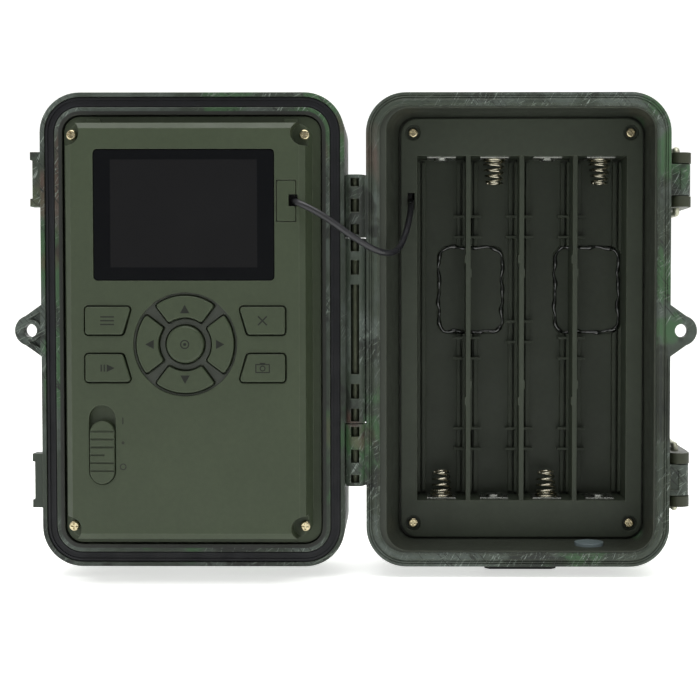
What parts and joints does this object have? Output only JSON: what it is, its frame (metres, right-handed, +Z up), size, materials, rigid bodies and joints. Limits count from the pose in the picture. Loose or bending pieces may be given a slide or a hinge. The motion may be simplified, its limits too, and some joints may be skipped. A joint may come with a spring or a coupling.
{
  "type": "trail camera",
  "caption": "Clamshell trail camera, open: control panel with display and keys in one half, battery tray with spring contacts in the other, latches and padlock ears.",
  "frame": {"origin": "under the middle of the open case, at the bottom of the tripod insert", "axes": "+X from the camera half to the battery half, +Y away from the open side, +Z up along the case hinge"},
  "size_m": [0.2042, 0.0658, 0.1454],
  "materials": {
    "camo_shell": "moulded, printed camouflage",
    "olive_panel": "fine matt texture",
    "dark_olive_tray": "fine matt texture",
    "black_plastic": "satin",
    "seal_rubber": "matt",
    "display_glass": "gloss, tinted",
    "lens_glass": "polished",
    "steel": "drawn wire and pin",
    "nickel_screw": "nickel over brass",
    "brass": "turned",
    "circuit_board": "solder mask",
    "component_black": "moulded parts",
    "ir_filter": "dark infrared filter",
    "pir_white": "milky, moulded",
    "led_clear": "clear epoxy",
    "cable_jacket": "soft jacket"
  },
  "bodies": {
    "battery_half": {"rear_shell": "camo_shell", "battery_tray": "dark_olive_tray", "tray_screws": "nickel_screw", "bay_floor_covers": "dark_olive_tray", "battery_springs": "steel", "battery_contacts": "steel", "battery_terminal": "component_black", "dc_jack": "black_plastic", "tripod_plate": "black_plastic", "tripod_insert": "brass", "strap_bracket": "black_plastic", "bracket_screws": "nickel_screw", "hinge_pin": "steel", "latch_pin_upper": "steel", "latch_pin_lower": "steel"},
    "camera_half": {"front_shell": "camo_shell", "gasket": "seal_rubber", "control_panel": "olive_panel", "panel_screws": "nickel_screw", "display_window": "display_glass", "display_module": "component_black", "cable_cover": "olive_panel", "key_board": "circuit_board", "tact_switches": "component_black", "slide_switch_body": "component_black", "card_socket": "steel", "usb_socket": "steel", "cable_connector": "pir_white", "main_board": "circuit_board", "image_sensor": "component_black", "lens_barrel": "black_plastic", "lens_ring": "black_plastic", "lens_window": "lens_glass", "front_bezel": "black_plastic", "ir_window": "ir_filter", "ir_led_board": "circuit_board", "ir_leds": "led_clear", "pir_lens": "pir_white", "pir_board": "circuit_board", "pir_sensor": "steel", "light_sensor": "led_clear", "status_led": "led_clear", "speaker": "component_black", "microphone": "steel", "power_cable": "cable_jacket"},
    "key_menu": {"key_menu": "olive_panel"},
    "key_play": {"key_play": "olive_panel"},
    "key_delete": {"key_delete": "olive_panel"},
    "key_photo": {"key_photo": "olive_panel"},
    "key_up": {"key_up": "olive_panel"},
    "key_down": {"key_down": "olive_panel"},
    "key_left": {"key_left": "olive_panel"},
    "key_right": {"key_right": "olive_panel"},
    "key_ok": {"key_ok": "olive_panel"},
    "slide_knob": {"slide_knob": "olive_panel"},
    "dc_plug": {"dc_plug": "seal_rubber"},
    "latch_lever_upper": {"latch_lever_upper": "olive_panel"},
    "wire_bail_upper": {"wire_bail_upper": "steel"},
    "latch_lever_lower": {"latch_lever_lower": "olive_panel"},
    "wire_bail_lower": {"wire_bail_lower": "steel"}
  },
  "joints": [
    {"name": "case_hinge", "type": "hinge", "parent": "battery_half", "child": "camera_half", "pos_m": [0, -0.01792, 0.0744], "axis": [0, 0, 1], "range_deg": [0, 180], "deforming": ["power_cable"]},
    {"name": "key_menu_press", "type": "slide", "parent": "camera_half", "child": "key_menu", "axis": [0, 1, 0], "range_m": [0, 0.0006], "stiffness_N_per_m": 500},
    {"name": "key_play_press", "type": "slide", "parent": "camera_half", "child": "key_play", "axis": [0, 1, 0], "range_m": [0, 0.0006], "stiffness_N_per_m": 500},
    {"name": "key_delete_press", "type": "slide", "parent": "camera_half", "child": "key_delete", "axis": [0, 1, 0], "range_m": [0, 0.0006], "stiffness_N_per_m": 500},
    {"name": "key_photo_press", "type": "slide", "parent": "camera_half", "child": "key_photo", "axis": [0, 1, 0], "range_m": [0, 0.0006], "stiffness_N_per_m": 500},
    {"name": "key_up_press", "type": "slide", "parent": "camera_half", "child": "key_up", "axis": [0, 1, 0], "range_m": [0, 0.0006], "stiffness_N_per_m": 500},
    {"name": "key_down_press", "type": "slide", "parent": "camera_half", "child": "key_down", "axis": [0, 1, 0], "range_m": [0, 0.0006], "stiffness_N_per_m": 500},
    {"name": "key_left_press", "type": "slide", "parent": "camera_half", "child": "key_left", "axis": [0, 1, 0], "range_m": [0, 0.0006], "stiffness_N_per_m": 500},
    {"name": "key_right_press", "type": "slide", "parent": "camera_half", "child": "key_right", "axis": [0, 1, 0], "range_m": [0, 0.0006], "stiffness_N_per_m": 500},
    {"name": "key_ok_press", "type": "slide", "parent": "camera_half", "child": "key_ok", "axis": [0, 1, 0], "range_m": [0, 0.0006], "stiffness_N_per_m": 500},
    {"name": "mode_slide", "type": "slide", "parent": "camera_half", "child": "slide_knob", "axis": [0, 0, 1], "range_m": [0, 0.0044]},
    {"name": "dc_plug_pull", "type": "slide", "parent": "battery_half", "child": "dc_plug", "axis": [0, 0, -1], "range_m": [0, 0.0022]},
    {"name": "lever_swing_upper", "type": "hinge", "parent": "battery_half", "child": "latch_lever_upper", "pos_m": [0.0979, -0.01192, 0.11965], "axis": [0, 0, -1], "range_deg": [0, 100]},
    {"name": "bail_swing_upper", "type": "hinge", "parent": "latch_lever_upper", "child": "wire_bail_upper", "pos_m": [0.0976, -0.00643, 0.11965], "axis": [0, 0, -1], "range_deg": [0, 100]},
    {"name": "lever_swing_lower", "type": "hinge", "parent": "battery_half", "child": "latch_lever_lower", "pos_m": [0.0979, -0.01192, 0.02915], "axis": [0, 0, -1], "range_deg": [0, 100]},
    {"name": "bail_swing_lower", "type": "hinge", "parent": "latch_lever_lower", "child": "wire_bail_lower", "pos_m": [0.0976, -0.00643, 0.02915], "axis": [0, 0, -1], "range_deg": [0, 100]}
  ]
}
